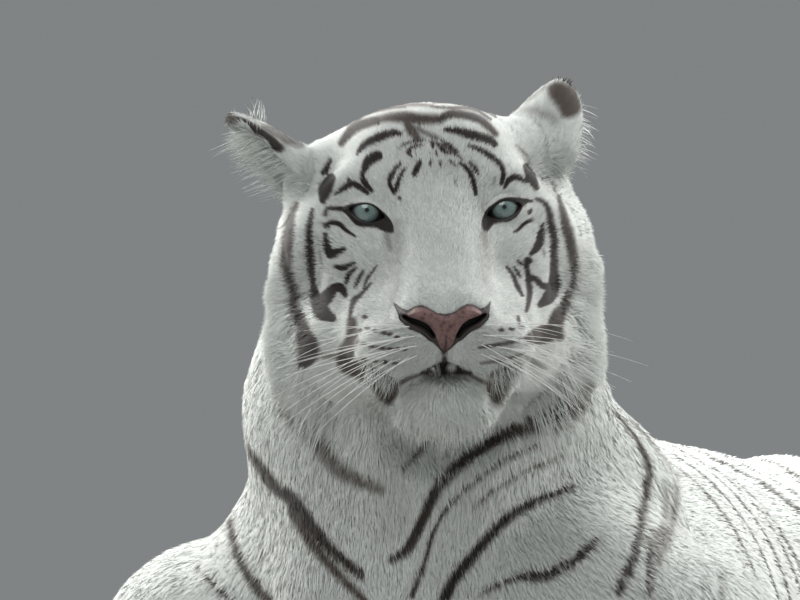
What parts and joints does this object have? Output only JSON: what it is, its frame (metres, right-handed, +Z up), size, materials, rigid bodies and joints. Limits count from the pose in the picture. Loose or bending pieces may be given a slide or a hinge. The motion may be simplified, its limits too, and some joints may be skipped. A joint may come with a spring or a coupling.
{
  "type": "white tiger model",
  "caption": "Life-size still model of a white tiger lying down, forelegs stretched forward, head raised and turned to its left, tail laid along its left flank.",
  "frame": {"origin": "on the floor, at the middle of the box round the whole animal", "axes": "+Z up, the body lies along Y with the head towards -Y, the animal's left side is +X"},
  "size_m": [0.9002, 1.9758, 0.8221],
  "materials": {
    "coat": "thick soft white fur with dark brown stripes",
    "eye": "clear wet cornea over a pale blue-green iris with a small round pupil",
    "nose": "matt pink nose leather with brown freckles and a dark rim"
  },
  "bodies": {
    "root": {"barrel": "coat", "chest": "coat", "ear_left": "coat", "ear_right": "coat", "eye_left": "eye", "eye_right": "eye", "forearm_left": "coat", "forearm_right": "coat", "forepaw_left": "coat", "forepaw_right": "coat", "head": "coat", "hind_foot_left": "coat", "hind_foot_right": "coat", "lower_jaw": "coat", "neck": "coat", "nose": "nose", "rump": "coat", "tail_1": "coat", "tail_2": "coat", "tail_3": "coat", "tail_4": "coat", "thigh_left": "coat", "thigh_right": "coat", "upper_arm_left": "coat", "upper_arm_right": "coat"}
  },
  "joints": []
}
